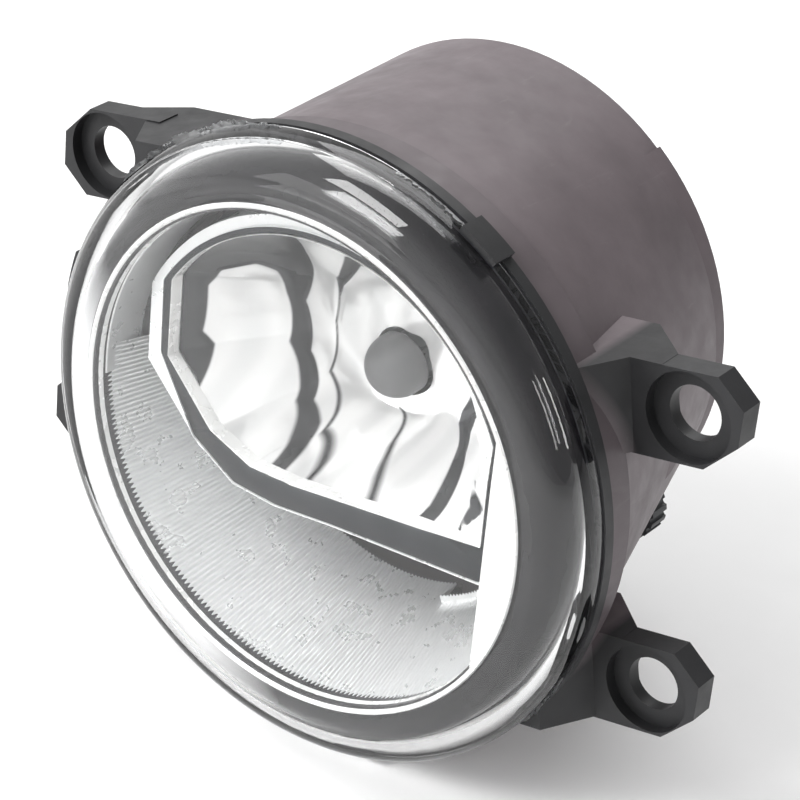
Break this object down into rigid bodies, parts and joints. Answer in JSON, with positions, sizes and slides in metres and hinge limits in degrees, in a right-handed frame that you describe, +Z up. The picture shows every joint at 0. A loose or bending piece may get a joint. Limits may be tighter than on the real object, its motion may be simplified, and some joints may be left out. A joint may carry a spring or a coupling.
{
  "type": "fog light",
  "caption": "Round vehicle fog light: clear domed lens, bright reflector, tapered black housing, four mounting tabs, aiming screw and twist-lock bulb.",
  "frame": {"origin": "middle of the four mounting holes, on the rear face of the mounting tabs", "axes": "-Y is the way the lamp shines, +X along the hole rows, +Z up"},
  "size_m": [0.1254, 0.086, 0.1001],
  "materials": {
    "clear_lens": "clear moulded lens with a glossy outer face",
    "seam_seal": "dark bonding bead along the lens edge",
    "housing_plastic": "black moulded plastic, finely grained and slightly scuffed",
    "bearing_plastic": "natural white bearing plastic",
    "black_rubber": "black elastomer",
    "membrane_white": "white breather membrane",
    "bezel_bright": "bright metallised plastic, finely fluted below",
    "zinc_steel": "zinc plated steel",
    "reflector_bright": "vacuum metallised free-form reflector",
    "wheel_plastic": "black serrated plastic",
    "spring_steel": "spring steel",
    "collar_plastic": "black heat resistant plastic",
    "base_plastic": "black bulb base plastic",
    "contact_metal": "tin plated contact blades",
    "seal_rubber": "red-brown sealing ring",
    "cup_metal": "stamped metal holder",
    "bulb_glass": "clear quartz bulb glass",
    "tip_coating": "dark heat resistant coating on the bulb tip",
    "tungsten": "coiled wire",
    "lead_wire": "support wire"
  },
  "bodies": {
    "housing": {"housing": "housing_plastic", "lens": "clear_lens", "lens_seal": "seam_seal", "lens_clips": "housing_plastic", "bezel": "bezel_bright", "bezel_screws": "zinc_steel", "pivot_bushes": "bearing_plastic", "vent_cap": "black_rubber", "vent_membrane": "membrane_white", "rear_boot": "black_rubber"},
    "reflector": {"reflector": "reflector_bright", "pivot_pins": "zinc_steel", "bulb_collar": "collar_plastic"},
    "bulb": {"bulb_base": "base_plastic", "bulb_terminals": "contact_metal", "bulb_seal_ring": "seal_rubber", "bulb_cup": "cup_metal", "bulb_glass": "bulb_glass", "bulb_tip_shade": "tip_coating", "bulb_filament": "tungsten", "bulb_leads": "lead_wire"},
    "adjuster": {"adjuster_screw": "zinc_steel", "adjuster_wheel": "wheel_plastic", "adjuster_seal": "black_rubber", "adjuster_clip": "spring_steel"},
    "nut": {"adjuster_nut": "bearing_plastic"}
  },
  "joints": [
    {"name": "reflector_tilt", "type": "hinge", "parent": "housing", "child": "reflector", "pos_m": [-0.003, 0.015, 0.0029], "axis": [1, 0, 0], "range_deg": [-2.5, 2.5]},
    {"name": "nut_travel", "type": "slide", "parent": "housing", "child": "nut", "axis": [0, 1, 0], "range_m": [-0.001, 0.001]},
    {"name": "adjuster_turn", "type": "hinge", "parent": "housing", "child": "adjuster", "pos_m": [0.021, 0.0415, -0.0278], "axis": [0, 1, 0], "range_deg": [-204, 204]},
    {"name": "bulb_twist", "type": "hinge", "parent": "reflector", "child": "bulb", "pos_m": [-0.003, 0.0465, 0.0029], "axis": [0, 1, 0], "range_deg": [0, 45]}
  ],
  "couplings": [
    {"joint": "nut_travel", "follows": "reflector_tilt", "m_per_rad": 0.0227},
    {"joint": "adjuster_turn", "follows": "reflector_tilt", "ratio": -81.502}
  ]
}
